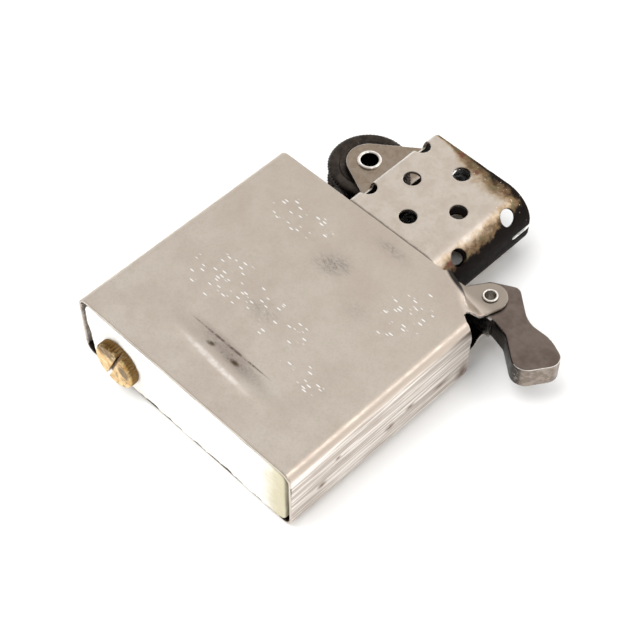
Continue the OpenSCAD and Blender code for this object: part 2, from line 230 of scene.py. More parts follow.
def refine(obj, voxel, relax, keep=1.0, shape=None):
    """Remeshes an object in millimetres into even quads with softened edges, then scales it to metres.

    relax is the number of smoothing steps, keep the share of the faces that stays, and shape moves the points.
    """
    remesh = obj.modifiers.new("remesh", "REMESH")
    remesh.mode = "VOXEL"
    remesh.voxel_size = voxel
    smooth = obj.modifiers.new("smooth", "SMOOTH")
    smooth.factor = 0.5
    smooth.iterations = relax
    apply_modifiers(obj)
    if shape:
        set_points(obj, shape(get_points(obj)))
    if keep < 1:
        decimate = obj.modifiers.new("decimate", "DECIMATE")
        decimate.ratio = keep
        even = obj.modifiers.new("even", "WEIGHTED_NORMAL")
        even.weight = 90
        apply_modifiers(obj)
    obj.data.transform(Matrix.Scale(MM, 4))
    obj.data.shade_smooth()
    return obj


def get_points(obj):
    """Vertex positions of an object as an array."""
    co = np.zeros(len(obj.data.vertices) * 3, np.float32)
    obj.data.vertices.foreach_get("co", co)
    return co.reshape(-1, 3).astype(float)


def set_points(obj, points):
    """Moves an object's vertices to new positions."""
    obj.data.vertices.foreach_set("co", points.astype(np.float32).ravel())
    obj.data.update()


def finish_piece(obj, body, slot, node, material=None):
    """Gives a piece its body, its slot's material or one of its own, and the CAD node it stands for."""
    obj.data.materials.clear()
    obj.data.materials.append(material or MATERIALS[slot])
    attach(obj, body)
    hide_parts(node)


# ---------------------------------------------------------------- material building blocks

class Shader:
    """A small helper to write a node material as nested calls. Patterns use millimetres in the shared frame."""

    def __init__(self, name):
        self.material = bpy.data.materials.new(name)
        self.material.use_nodes = True
        self.tree = self.material.node_tree
        self.bsdf = next(n for n in self.tree.nodes if n.type == "BSDF_PRINCIPLED")
        coords = self.tree.nodes.new("ShaderNodeTexCoord")
        self.mm = self.vector("MULTIPLY", coords.outputs["Object"], (1 / MM, 1 / MM, 1 / MM))

    def link(self, socket, value):
        """Feeds a socket from another node's output or sets it to a plain value."""
        if isinstance(value, bpy.types.NodeSocket):
            self.tree.links.new(value, socket)
        elif value is not None:
            socket.default_value = (*value, 1) if socket.type == "RGBA" else value

    def vector(self, operation, a, b=None, output="Vector"):
        node = self.tree.nodes.new("ShaderNodeVectorMath")
        node.operation = operation
        self.link(node.inputs[0], a)
        self.link(node.inputs[1], b)
        return node.outputs[output]

    def math(self, operation, a, b=None, clamp=False):
        node = self.tree.nodes.new("ShaderNodeMath")
        node.operation = operation
        node.use_clamp = clamp
        self.link(node.inputs[0], a)
        self.link(node.inputs[1], b)
        return node.outputs[0]

    def add(self, a, b):
        return self.math("ADD", a, b)

    def sub(self, a, b):
        return self.math("SUBTRACT", a, b)

    def mul(self, a, b):
        return self.math("MULTIPLY", a, b)

    def spot(self, centre, radii, turn=0.0, inner=0.0):
        """1 at a centre, falling to 0 at the given radii; the radius FAR leaves that direction out."""
        node = self.tree.nodes.new("ShaderNodeMapping")
        node.vector_type = "TEXTURE"
        self.link(node.inputs["Vector"], self.mm)
        node.inputs["Location"].default_value = centre
        node.inputs["Rotation"].default_value = (0, 0, math.radians(turn))
        node.inputs["Scale"].default_value = radii
        return self.span(self.vector("LENGTH", node.outputs[0], output="Value"), 1.0, inner)

    def most(self, *values):
        """Largest of several masks."""
        result = values[0]
        for value in values[1:]:
            result = self.math("MAXIMUM", result, value)
        return result

    def depth_inside(self, x, z, end_x, half_z, radius):
        """Distance in from the outer surface of a bent sheet; z is counted from the middle plane."""
        u = self.math("MAXIMUM", self.sub(x, end_x - radius), 0.0)
        w = self.math("MAXIMUM", self.sub(self.math("ABSOLUTE", z), half_z - radius), 0.0)
        return self.sub(radius, self.math("SQRT", self.add(self.mul(u, u), self.mul(w, w))))

    def stretch(self, scale, turn=0.0, shift=(0, 0, 0)):
        """Pattern coordinates that are scaled, turned and shifted, for streaks and grain."""
        node = self.tree.nodes.new("ShaderNodeMapping")
        self.link(node.inputs["Vector"], self.mm)
        node.inputs["Location"].default_value = shift
        node.inputs["Rotation"].default_value = (0, 0, math.radians(turn))
        node.inputs["Scale"].default_value = scale
        return node.outputs[0]

    def noise(self, scale, detail=3.0, roughness=0.55, coords=None, distortion=0.0):
        node = self.tree.nodes.new("ShaderNodeTexNoise")
        self.link(node.inputs["Vector"], coords if coords is not None else self.mm)
        node.inputs["Scale"].default_value = scale
        node.inputs["Detail"].default_value = detail
        node.inputs["Roughness"].default_value = roughness
        node.inputs["Distortion"].default_value = distortion
        return node.outputs[0]

    def cells(self, scale, coords=None, output="Distance"):
        """Distance to the nearest of many scattered points, or their random colours."""
        node = self.tree.nodes.new("ShaderNodeTexVoronoi")
        self.link(node.inputs["Vector"], coords if coords is not None else self.mm)
        node.inputs["Scale"].default_value = scale
        return node.outputs[output]

    def span(self, value, low, high, out_low=0.0, out_high=1.0, smooth=True):
        """Maps low..high to out_low..out_high and holds the ends."""
        node = self.tree.nodes.new("ShaderNodeMapRange")
        node.interpolation_type = "SMOOTHSTEP" if smooth else "LINEAR"
        self.link(node.inputs["Value"], value)
        self.link(node.inputs["From Min"], low)
        self.link(node.inputs["From Max"], high)
        self.link(node.inputs["To Min"], out_low)
        self.link(node.inputs["To Max"], out_high)
        return node.outputs[0]

    def mix(self, factor, a, b):
        """Colour that goes from a to b as the factor goes from 0 to 1."""
        node = self.tree.nodes.new("ShaderNodeMix")
        node.data_type = "RGBA"
        self.link(node.inputs["Factor"], factor)
        self.link(node.inputs[6], a)
        self.link(node.inputs[7], b)
        return node.outputs[2]

    def split(self, value=None):
        node = self.tree.nodes.new("ShaderNodeSeparateXYZ")
        self.link(node.inputs[0], value if value is not None else self.mm)
        return node.outputs

    def normal(self):
        return self.split(self.tree.nodes.new("ShaderNodeNewGeometry").outputs["Normal"])

    def edges(self, low, high):
        """Mask of convex edges, kept off the flat faces."""
        node = self.tree.nodes.new("ShaderNodeNewGeometry")
        steepest = self.most(*(self.math("ABSOLUTE", part) for part in self.normal()))
        return self.mul(self.span(node.outputs["Pointiness"], low, high), self.span(steepest, 0.995, 0.96))

    def bump(self, height, strength, distance, under=None):
        node = self.tree.nodes.new("ShaderNodeBump")
        node.inputs["Strength"].default_value = strength
        node.inputs["Distance"].default_value = distance * MM
        self.link(node.inputs["Height"], height)
        if under is not None:
            self.link(node.inputs["Normal"], under)
        return node.outputs[0]

    def finish(self, color, roughness, metallic, normal=None, **other):
        """Connects the surface's inputs and returns the material."""
        self.link(self.bsdf.inputs["Base Color"], color)
        self.link(self.bsdf.inputs["Roughness"], roughness)
        self.link(self.bsdf.inputs["Metallic"], metallic)
        if normal is not None:
            self.link(self.bsdf.inputs["Normal"], normal)
        for name, value in other.items():
            self.link(self.bsdf.inputs[name], value)
        return self.material


def srgb(r, g, b):
    """Linear colour from 0-255 screen values."""
    return tuple(c / 255 / 12.92 if c <= 10 else ((c / 255 + 0.055) / 1.055) ** 2.4 for c in (r, g, b))


# ---------------------------------------------------------------- materials

FAR = 1e6
BARE_STEEL = {"Specular IOR Level": 0.05}
SOOTED_STEEL = {"Specular IOR Level": 0.03}
FIBRE_SHEEN = {"Sheen Weight": 0.3, "Sheen Roughness": 0.5}


def shell_steel():
    """Tumbled stainless sheet: clouded warm grey, scuffed, nicked and stained, with painted shade inside and
    painted highlights on the fold, groove and edges.
    """
    s = Shader("shell_steel")
    x, y, z = s.split()
    normal = s.normal()
    cloud = s.noise(0.16, 4, 0.6)
    fine = s.noise(0.9, 5, 0.65)
    color = s.mix(s.span(cloud, 0.35, 0.65), srgb(211, 201, 189), srgb(203, 190, 179))
    color = s.mix(s.span(y, -14, 18, 0, 0.5, False), color, srgb(183, 170, 157))
    color = s.mix(s.span(fine, 0.5, 0.75, 0, 0.3), color, srgb(187, 180, 161))
    color = s.mix(s.span(s.noise(4.0, 4, 0.7), 0.42, 0.7, 0, 0.28), color, srgb(176, 166, 152))

    # Scuffs on the front; along the pressed groove a dark smear that is partly painted shade on its upper side, a
    # painted shade line, grime, and a painted highlight on its lower lip.
    scratch = s.noise(1.0, 6, 0.8, s.stretch((0.9, 2.6, 1), 25), 1.5)
    scuffed = s.most(s.spot((0, 8.0, 0), (3.6, 2.6, FAR), 20),
                     s.mul(s.spot((-1, -2.8, 0), (3.2, 2.2, FAR)), 0.6),
                     s.mul(s.spot((3.6, 14.6, 0), (4.2, 1.3, FAR)), 0.7),
                     s.mul(s.spot((7, 5, 0), (3, 2, FAR)), 0.3))
    color = s.mix(s.mul(scuffed, s.span(scratch, 0.44, 0.62, 0.1, 0.75)), color, srgb(116, 108, 104))
    groove_smear_and_shade = s.spot((1.0, -9.7, 0), (8.4, 1.35, FAR), -6, 0.3)
    color = s.mix(s.mul(groove_smear_and_shade, s.span(scratch, 0.3, 0.62, 0.2, 0.6)), color, srgb(134, 122, 114))
    # Painted shade: a thin dark line along the groove's upper side.
    line = s.mul(s.spot((0.3, -9.1, 0), (7.6, 0.2, FAR), 0, 0.5), s.span(fine, 0.4, 0.55, 0.2, 0.9))
    color = s.mix(line, color, srgb(112, 96, 88))
    grime = s.most(s.spot((-1.8, -10.3, 0), (0.9, 0.4, FAR), 10, 0.2),
                   s.spot((2.2, -10.3, 0), (1.1, 0.45, FAR), 0, 0.2),
                   s.mul(s.spot((0.6, -10.1, 0), (4.6, 0.8, FAR), -5), s.span(s.noise(2.4, 3), 0.56, 0.66)))
    color = s.mix(s.mul(grime, s.span(fine, 0.35, 0.55, 0.3, 1.0)), color, srgb(96, 82, 66))
    # Painted highlight on the groove's lower lip.
    groove_lip_highlight = s.spot((0.6, -11.9, 0), (7.4, 0.6, FAR), -4, 0.2)
    color = s.mix(s.mul(groove_lip_highlight, s.span(fine, 0.35, 0.6, 0.3, 0.9)), color, srgb(244, 236, 230))

    # Streaked side walls with brown stains.
    side = s.span(s.math("ABSOLUTE", normal[0]), 0.75, 0.95)
    streak = s.noise(1.0, 4, 0.65, s.stretch((1, 0.045, 1.5)))
    wall = s.mix(s.span(streak, 0.42, 0.6), srgb(188, 176, 166), srgb(240, 234, 228))
    wall = s.mix(s.span(s.noise(1.0, 3, 0.6, s.stretch((1, 0.09, 3.4), 0, (4, 0, 2))), 0.56, 0.66, 0, 0.7),
                 wall, srgb(160, 142, 132))
    color = s.mix(side, color, wall)
    marks = s.most(*(s.spot((SHELL_HIGH[0], y0, z0), (FAR, ry, rz)) for y0, z0, ry, rz in (
        (-12.0, 3.9, 1.1, 0.75), (-0.8, 3.8, 1.2, 0.8), (2.6, 4.4, 1.1, 0.5), (-9.4, 6.7, 0.7, 0.45),
        (8.0, 3.4, 1.8, 0.5), (12.0, 2.2, 1.8, 2.6))))
    stain = s.mul(s.mul(side, marks), s.span(s.noise(1.1, 5, 0.7), 0.3, 0.45))
    color = s.mix(s.mul(stain, 0.95), color, srgb(112, 86, 68))
    bend = s.mul(s.span(normal[0], 0.15, 0.4), s.span(normal[2], 0.3, 0.5))
    color = s.mix(s.mul(bend, s.span(streak, 0.3, 0.6, 0.3, 0.9)), color, srgb(216, 200, 186))

    # Ears: greyer, with painted shade on the inner faces between them, and a painted shade band and a painted
    # highlight streak along the fold.
    ear = s.span(y, SHOULDER_Y + 0.6, SHOULDER_Y + 1.6)
    color = s.mix(ear, color, srgb(163, 152, 140))
    # Painted shade on the faces that look in towards the middle of the shell.
    inner = s.span(s.mul(s.sub(z, MID_Z), normal[2]), -0.3, -0.9)
    color = s.mix(inner, color, srgb(44, 38, 34))
    # Painted shade: a dark band on the curved part of the fold.
    for z0 in (FACE_Z - 0.7, SHELL_LOW[2] + 0.7):
        color = s.mix(s.spot((11.7, 16.95, z0), (3.3, 0.75, 1.6), -21, 0.55), color, srgb(40, 33, 29))
    # Painted highlight: a bright streak standing for the lit cut edge of the fold.
    for z0 in (FACE_Z - 2.3, SHELL_LOW[2] + 2.3):
        color = s.mix(s.spot((12.3, 17.6, z0), (2.4, 0.32, 1.2), -21, 0.5), color, srgb(244, 236, 224))
    # Painted shade on the inner wall, up to the shoulder and off the fold.
    deep = s.depth_inside(s.math("ABSOLUTE", x), s.sub(z, MID_Z), SHELL_HIGH[0], MID_Z, SHELL_R)
    within = s.mul(s.span(deep, 0.28, 0.4), s.span(y, SHELL_LOW[1] + 0.3, SHELL_LOW[1] + 1.5, 0.3, 1.0))
    within = s.mul(within, s.span(y, SHOULDER_Y - 0.4, SHOULDER_Y + 0.2, 1.0, 0.0))
    out = s.add(s.mul(s.sub(x, FOLD_START[0]), FOLD_OUT[0]), s.mul(s.sub(y, FOLD_START[1]), FOLD_OUT[1]))
    within = s.mul(within, s.span(out, -0.7, -1.3))
    color = s.mix(within, color, srgb(44, 38, 33))

    # Small bright nicks, thick in some places of the front, and a painted highlight on the edges, partly edge
    # wear.
    turned = s.stretch((0.7, 2.4, 0.02), 4)
    nick = s.span(s.cells(1.0, turned), 0.3, 0.17)
    chosen = s.span(s.split(s.cells(1.0, turned, "Color"))[0], 0.22, 0.26)
    nicked = s.most(s.spot((-7.5, -2.6, FACE_Z), (6.5, 4.2, 1), 10, 0.5),
                    s.spot((1.5, -2.8, FACE_Z), (5.5, 3.2, 1), 0, 0.5),
                    s.spot((9.0, -6.2, FACE_Z), (4.0, 2.2, 1), 0, 0.5),
                    s.spot((11.4, 8.6, FACE_Z), (3.6, 5.4, 1), 0, 0.5),
                    s.mul(s.spot((-7.6, 10.4, FACE_Z), (6.0, 3.0, 1), 0, 0.5), 0.8))
    nicks = s.mul(s.mul(nick, chosen), s.span(nicked, 0.2, 0.4))
    color = s.mix(nicks, color, srgb(252, 249, 244))
    edge_wear_and_highlight = s.mul(s.edges(0.53, 0.6), s.span(y, SHOULDER_Y - 0.5, SHOULDER_Y - 1.5, 0.1, 0.55))
    color = s.mix(edge_wear_and_highlight, color, srgb(244, 236, 226))

    roughness = s.span(s.noise(0.8, 5, 0.65), 0.3, 0.7, 0.3, 0.44)
    brushed = s.noise(9.0, 2, 0.5, s.stretch((0.6, 2.4, 1)))
    grain = s.add(s.mul(brushed, 0.4), s.mul(s.noise(3.0, 4, 0.6), 0.6))
    surface = s.bump(grain, 0.12, 0.03)
    surface = s.bump(s.mul(nicks, -1.0), 0.5, 0.03, surface)
    return s.finish(color, s.add(roughness, s.mul(scuffed, 0.12)), s.span(within, 0, 1, 1.0, 0.1), surface,
                    **BARE_STEEL)


def chimney_steel():
    """Stainless sheet that the flame has tinted and sooted on the cam side and along the rim."""
    s = Shader("chimney_steel")
    x, y, z = s.split()
    drift = s.noise(0.5, 5, 0.6)
    blot = s.noise(1.1, 5, 0.65, None, 0.6)
    fine = s.noise(2.2, 5, 0.65)
    shift = s.sub(drift, 0.5)
    spread = s.sub(blot, 0.5)
    color = s.mix(s.span(drift, 0.35, 0.65), srgb(206, 196, 184), srgb(197, 185, 173))
    color = s.mix(s.span(fine, 0.45, 0.75, 0, 0.3), color, srgb(180, 166, 152))

    # Heat tint: across runs from 0 where the bend begins to 1 at the end, and rim grows downwards from the rim.
    bend_x = CHIMNEY_HIGH[0] - CHIMNEY_BEND_R
    across = s.math("DIVIDE", s.sub(x, bend_x), CHIMNEY_BEND_R)
    across = s.add(across, s.add(s.mul(shift, 0.5), s.mul(spread, 0.25)))
    across = s.add(across, s.span(y, 26, 30.5, 0, 0.14))
    depth = s.sub(RIM_Y, y)
    width = s.span(x, -5, 4, 0.35, 2.9)
    rim = s.sub(s.math("DIVIDE", depth, width), s.add(s.mul(shift, 1.2), s.mul(spread, 0.5)))
    tan = s.most(s.span(across, 0.44, 0.6), s.span(rim, 1.25, 0.75))
    brown = s.most(s.span(across, 0.58, 0.72), s.span(rim, 0.95, 0.45))
    # Black is soot, darkened further on the round end as a painted dark reflection.
    black = s.most(s.span(across, 0.74, 0.9), s.mul(s.span(rim, 0.5, 0.1), s.span(x, 0, 4)))
    color = s.mix(s.mul(tan, 0.8), color, srgb(174, 150, 120))
    baked = s.mix(s.span(blot, 0.42, 0.6), srgb(124, 100, 70), srgb(96, 74, 52))
    color = s.mix(s.mul(brown, 0.88), color, baked)
    green = s.span(s.noise(0.8, 3, 0.5, s.stretch((1, 1, 1), 0, (5, 2, 1))), 0.52, 0.62, 0, 0.6)
    color = s.mix(s.mul(brown, green), color, srgb(104, 108, 84))
    red = s.span(s.noise(0.9, 3, 0.5, s.stretch((1, 1, 1), 0, (9, 7, 3))), 0.54, 0.64, 0, 0.7)
    color = s.mix(s.mul(brown, red), color, srgb(112, 62, 56))
    color = s.mix(black, color, srgb(26, 21, 19))
    burr = s.mul(s.span(s.add(depth, s.mul(spread, 0.4)), 0.5, 0.25), s.span(x, -1.5, 1.5))
    color = s.mix(s.mul(burr, 0.9), color, srgb(34, 27, 24))
    flecked = s.most(s.span(rim, 1.3, 0.6), s.spot((7.5, 29.5, 10), (3, 3, 5)))
    flecks = s.mul(s.span(s.cells(1.6), 0.16, 0.1), flecked)
    color = s.mix(s.mul(flecks, s.span(fine, 0.5, 0.6)), color, srgb(236, 226, 212))

    # Greyer ears at the wheel, a painted highlight on the wheel-side bend and on edges, and a painted shade line
    # where the chimney meets the shoulder.
    ears = s.span(x, CHIMNEY_LOW[0] + 7.4, CHIMNEY_LOW[0] + 6.6)
    color = s.mix(ears, color, s.mix(s.span(blot, 0.4, 0.65), srgb(152, 138, 124), srgb(140, 124, 106)))
    # Painted highlight along the wheel-side bend.
    bend = s.mul(s.span(s.normal()[0], -0.2, -0.5), s.span(x, -5.5, -5.9))
    color = s.mix(s.mul(bend, 0.7), color, srgb(226, 222, 216))
    # Painted highlight on edges such as the rims of the air holes, kept off the bend.
    color = s.mix(s.mul(s.edges(0.53, 0.62), s.span(x, bend_x + 0.6, bend_x)), color, srgb(240, 234, 226))
    # Painted shade: a dark line on the chimney just above the shoulder.
    shoulder_shade = s.span(s.add(y, s.mul(spread, 0.4)), SHOULDER_Y + 0.62, SHOULDER_Y + 0.3)
    color = s.mix(s.mul(shoulder_shade, 0.75), color, srgb(92, 80, 70))

    # The inner wall is black with soot, and the lower cut edge of the slit gets a painted highlight.
    half_z = (CHIMNEY_HIGH[2] - CHIMNEY_LOW[2]) / 2
    from_mid = s.sub(z, MID_Z)
    deep = s.depth_inside(x, from_mid, CHIMNEY_HIGH[0], half_z, CHIMNEY_BEND_R)
    other = s.depth_inside(s.mul(x, -1.0), from_mid, 6.4, half_z, 0.8)
    within = s.span(s.math("MINIMUM", deep, other), 0.28, 0.4)
    color = s.mix(within, color, srgb(26, 20, 17))
    cut = s.spot((CHIMNEY_HIGH[0], RIM_Y, MID_Z), (2.5, 3.9, 0.6), 0, 0.9)
    slit = s.mul(cut, s.span(s.normal()[2], 0.5, 0.8))
    color = s.mix(slit, color, srgb(252, 250, 247))
    sooty = s.math("SUBTRACT", s.most(black, within), s.mul(slit, 0.9), clamp=True)
    rough = s.add(s.span(s.noise(1.4, 5, 0.6), 0.3, 0.7, 0.28, 0.42), s.mul(sooty, 0.2))
    grain = s.noise(6.0, 3, 0.5, s.stretch((2.4, 0.5, 1)))
    surface = s.bump(s.add(grain, s.mul(blot, 0.6)), 0.14, 0.04)
    return s.finish(color, rough, s.span(sooty, 0, 1, 1.0, 0.05), surface, **SOOTED_STEEL)


def plain_metal(name, light, dark, rough_low, rough_high, patch=0.9, grain_scale=5.0, bump=0.15, edge_wear_and_highlight=None):
    """Metal with patchy colour, uneven roughness and a fine grain."""
    s = Shader(name)
    patches = s.noise(patch, 5, 0.65)
    color = s.mix(s.span(patches, 0.35, 0.68), light, dark)
    # Lighter colour on convex edges: painted highlight, partly edge wear.
    if edge_wear_and_highlight:
        color = s.mix(s.edges(0.52, 0.6), color, edge_wear_and_highlight)
    rough = s.span(s.noise(patch * 1.7, 4, 0.6), 0.3, 0.7, rough_low, rough_high)
    height = s.add(s.noise(grain_scale, 4, 0.6), s.mul(patches, 0.5))
    return s.finish(color, rough, 1.0, s.bump(height, bump, 0.04))


def cam_steel():
    """Satin grey steel with a painted highlight and glints on the toe, its front wall painted lighter and its
    inner side painted dark as shade.
    """
    s = Shader("cam_steel")
    normal = s.normal()
    patches = s.noise(0.5, 5, 0.65)
    fine = s.noise(1.3, 5, 0.6)
    color = s.mix(s.span(patches, 0.35, 0.68), srgb(120, 108, 100), srgb(104, 91, 84))
    facing = s.add(s.mul(normal[0], 0.83), s.mul(normal[1], -0.56))
    turned_away = s.add(s.mul(normal[0], -0.7), s.mul(normal[1], -0.7))
    # Painted light: the toe's front wall, facing +x and -y, is painted lighter.
    wall = s.mix(s.span(fine, 0.4, 0.6), srgb(152, 140, 130), srgb(124, 112, 102))
    color = s.mix(s.span(facing, 0.55, 0.85), color, wall)
    # Painted shade on the inner side, turned away from the light.
    color = s.mix(s.mul(s.span(turned_away, 0.2, 0.6), 0.85), color, srgb(36, 31, 28))
    # Painted highlight along the rounded upper edge of the toe.
    rounding = s.mul(s.span(normal[2], 0.25, 0.45), s.span(normal[2], 0.93, 0.82))
    toe_edge_highlight = s.mul(rounding, s.span(facing, 0.15, 0.35))
    color = s.mix(s.mul(toe_edge_highlight, s.span(fine, 0.3, 0.5, 0.6, 1.0)), color, srgb(253, 249, 242))
    # Painted highlights: glints near the toe's corner.
    toe = s.spot((CAM[0] + 8.9, CAM[1] - 6.3, MID_Z), (1.2, 1.2, 2.4), 0, 0.3)
    toe_glints = s.mul(toe, s.span(s.noise(3.4, 4, 0.6), 0.52, 0.6))
    color = s.mix(s.mul(toe_glints, s.span(normal[2], 0.9, 0.6)), color, srgb(238, 232, 226))
    rough = s.span(s.noise(0.85, 4, 0.6), 0.3, 0.7, 0.3, 0.42)
    height = s.add(s.noise(6.0, 4, 0.6), s.mul(patches, 0.5))
    return s.finish(color, rough, 1.0, s.bump(height, 0.08, 0.04))


def cloth_like(name, light, dark, scale, strength, char=None):
    """Matted cotton: fibres at several scales, soft sheen, an optional charred end from one y to another."""
    s = Shader(name)
    fibres = s.noise(scale, 8, 0.75, distortion=1.5)
    color = s.mix(s.span(fibres, 0.35, 0.65), dark, light)
    if char:
        burnt = s.span(s.add(s.split()[1], s.mul(s.noise(1.1, 3), 3.0)), *char)
        color = s.mix(burnt, color, srgb(22, 19, 17))
    surface = s.bump(s.add(fibres, s.mul(s.noise(scale * 4, 3), 0.4)), strength, 0.12)
    return s.finish(color, 0.95, 0.0, surface, **FIBRE_SHEEN)


def screw_brass():
    """Brass with brown tarnish over the top of the head, and darker behind the face: painted shade in the slot,
    tarnish in the knurling.
    """
    s = Shader("brass")
    patches = s.noise(0.9, 5, 0.65)
    color = s.mix(s.span(patches, 0.35, 0.65), srgb(238, 212, 160), srgb(196, 152, 88))
    x, y, _ = s.split()
    top = s.spot((WHEEL[0] - 1.2, SCREW_LOW[1], MID_Z + 2.6), (3.4, 1.2, 2.0), 0, 0.5)
    side = s.spot((WHEEL[0] + 2.0, SCREW_LOW[1], MID_Z + 0.7), (1.3, 1.2, 1.3), 0, 0.5)
    blotches = s.mul(s.span(s.noise(1.9, 4, 0.6), 0.55, 0.64), s.span(x, WHEEL[0] - 0.5, WHEEL[0] + 1.5))
    tarnish = s.most(s.mul(top, s.span(patches, 0.3, 0.5)), side, blotches)
    color = s.mix(s.mul(tarnish, 0.9), color, srgb(104, 76, 36))
    # Darker deeper than the face: painted shade in the slot, tarnish on the knurling.
    slot = s.span(y, SCREW_LOW[1] + 0.12, SCREW_LOW[1] + 0.5)
    color = s.mix(s.mul(slot, 0.85), color, srgb(96, 70, 36))
    rough = s.span(s.noise(1.6, 4, 0.6), 0.3, 0.7, 0.3, 0.48)
    return s.finish(color, rough, 1.0, s.bump(s.add(s.noise(6.0, 4, 0.6), patches), 0.2, 0.04))


def felt():
    """White pressed felt with loose fibres, painted cream towards the cam end as shade."""
    s = Shader("felt")
    fibres = s.noise(2.6, 8, 0.75, distortion=1.5)
    color = s.mix(s.span(fibres, 0.35, 0.65), srgb(238, 235, 226), srgb(252, 251, 248))
    # Painted shade: cream towards the cam end of the felt.
    cam_end_shade = s.span(s.add(s.split()[0], s.mul(s.sub(s.noise(0.5), 0.5), 3.0)), 12.6, 16.2)
    color = s.mix(s.mul(cam_end_shade, 0.9), color, srgb(190, 180, 146))
    surface = s.bump(s.add(fibres, s.mul(s.noise(10.0, 3), 0.4)), 0.7, 0.12)
    return s.finish(color, 0.95, 0.0, surface, **FIBRE_SHEEN)


# Materials by the slots of the record.
MATERIALS = {
    "shell_steel": shell_steel(),
    "chimney_steel": chimney_steel(),
    # Dark colour: painted shade on the deck plate inside the shell.
    "plate_steel": plain_metal("plate_steel", srgb(60, 55, 51), srgb(34, 30, 27), 0.4, 0.6),
    "cam_steel": cam_steel(),
    "wheel_steel": plain_metal("wheel_steel", srgb(70, 63, 58), srgb(52, 46, 42), 0.38, 0.5,
                               patch=1.2, grain_scale=7.0, bump=0.12, edge_wear_and_highlight=srgb(92, 84, 78)),
    "spring_steel": plain_metal("spring_steel", srgb(168, 164, 160), srgb(138, 134, 130), 0.25, 0.4),
    "bright_nickel": plain_metal("bright_nickel", srgb(250, 246, 240), srgb(222, 214, 204), 0.12, 0.26,
                                 patch=1.4, bump=0.06),
    "brass": screw_brass(),
    "flint_alloy": plain_metal("flint_alloy", srgb(96, 94, 93), srgb(66, 63, 62), 0.6, 0.8,
                               patch=2.0, grain_scale=6.0, bump=0.5),
    "copper_wire": plain_metal("copper_wire", srgb(206, 132, 92), srgb(150, 86, 58), 0.3, 0.5),
    "wick_cotton": cloth_like("wick_cotton", srgb(226, 218, 200), srgb(170, 158, 138), 2.2, 0.8,
                              char=(SHOULDER_Y + 0.5, SHOULDER_Y + 6.0)),
    "felt": felt(),
    "cotton": cloth_like("cotton", srgb(248, 246, 240), srgb(226, 222, 210), 1.2, 0.9),
}


def dress_cad_nodes():
    """Gives every CAD node the material of its slot in the record."""
    for part in frame["record"]["subparts"]:
        mesh = frame["nodes"][part["node"]].data
        mesh.materials.clear()
        mesh.materials.append(MATERIALS[part["material_slot"]])
        mesh.shade_smooth()


# ---------------------------------------------------------------- sheet metal

def smooth_step(value, low, high):
    """0 below low, 1 above high, with soft ends."""
    t = np.clip((value - low) / (high - low), 0, 1)
    return t * t * (3 - 2 * t)


def ease_fold(points):
    """Lets both sheets run down softly to the cam ears towards the far end of their fold."""
    p = points.copy()
    height = np.abs(p[:, 2] - MID_Z) + MID_Z
    along = (p[:, :2] - FOLD_START) @ FOLD_ALONG
    out = (p[:, :2] - FOLD_START) @ FOLD_OUT
    ear_z = MID_Z + EAR_HALF
    outer_wall = height > MID_Z + 1.6
    drop = np.clip((FACE_Z - height) / (FACE_Z - ear_z), 0, 1)
    round_z, hollow_z = FACE_Z - FOLD_OUT_R, ear_z + FOLD_IN_R
    rounded = np.sqrt(np.clip(FOLD_OUT_R ** 2 - (height - round_z) ** 2, 0, None))
    hollow = FOLD_OUT_R + FOLD_IN_R - np.sqrt(np.clip(FOLD_IN_R ** 2 - (hollow_z - height) ** 2, 0, None))
    tight = np.where(height > round_z, rounded, FOLD_OUT_R)
    tight = np.where(height < hollow_z, hollow, tight)
    soft = -0.8 + 3.4 * (0.5 - np.sin(np.arcsin(1 - 2 * drop) / 3))
    weight = smooth_step(along, 2.5, 6.2) * smooth_step(out, -1.2, -0.1) * (1 - smooth_step(out, 2.2, 3.6))
    p[:, :2] += (weight * outer_wall * (soft - tight))[:, None] * FOLD_OUT
    tip = outer_wall & (height < ear_z + 0.3) & (along > -0.2) & (along < 1.4) & (p[:, 1] > SHOULDER_Y)
    spare = np.clip(out - 1.9 - 0.55 * (along - 0.1), 0, None) * tip
    p[:, :2] -= spare[:, None] * FOLD_OUT
    return p


def shape_shell(points):
    """Slight swell and unevenness of the worn sheet, and the shallow pressed groove in the front face."""
    p = points.copy()
    x, y, z = p.T
    mid_y = (SHELL_LOW[1] + SHOULDER_Y) / 2
    half = SHOULDER_Y - mid_y
    along = np.clip(1 - ((y - mid_y) / half) ** 2, 0, 1)
    across = np.clip(1 - (x / SHELL_HIGH[0]) ** 2, 0, 1)
    front = np.clip((z - FACE_Z + 0.6) / 0.15, 0, 1)
    groove_y = SHELL_LOW[1] + 5.6 - 0.06 * x
    length = np.exp(-(np.abs(x - 0.6) / 7.8) ** 4)
    groove = 0.16 * length * np.exp(-((y - groove_y) / 0.95) ** 2)
    wave = 0.035 * np.array([noise.noise(Vector((a * 0.16, b * 0.16, 0.0))) for a, b in zip(x, y)])
    p[:, 2] = z - front * (groove - wave * along * across)
    return ease_fold(p)


def build_shell():
    obj = refine(copy_nodes("shell", ["insert_shell"]), voxel=0.13, relax=2, keep=0.3, shape=shape_shell)
    finish_piece(obj, "case", "shell_steel", "insert_shell")


def build_chimney():
    obj = refine(copy_nodes("windguard", ["chimney"]), voxel=0.09, relax=2, keep=0.4)
    finish_piece(obj, "case", "chimney_steel", "chimney")


def build_top_plate():
    obj = refine(copy_nodes("deck_plate", ["top_plate"]), voxel=0.12, relax=1, keep=0.3)
    finish_piece(obj, "case", "plate_steel", "top_plate")


# ---------------------------------------------------------------- rivets, wheel, cam

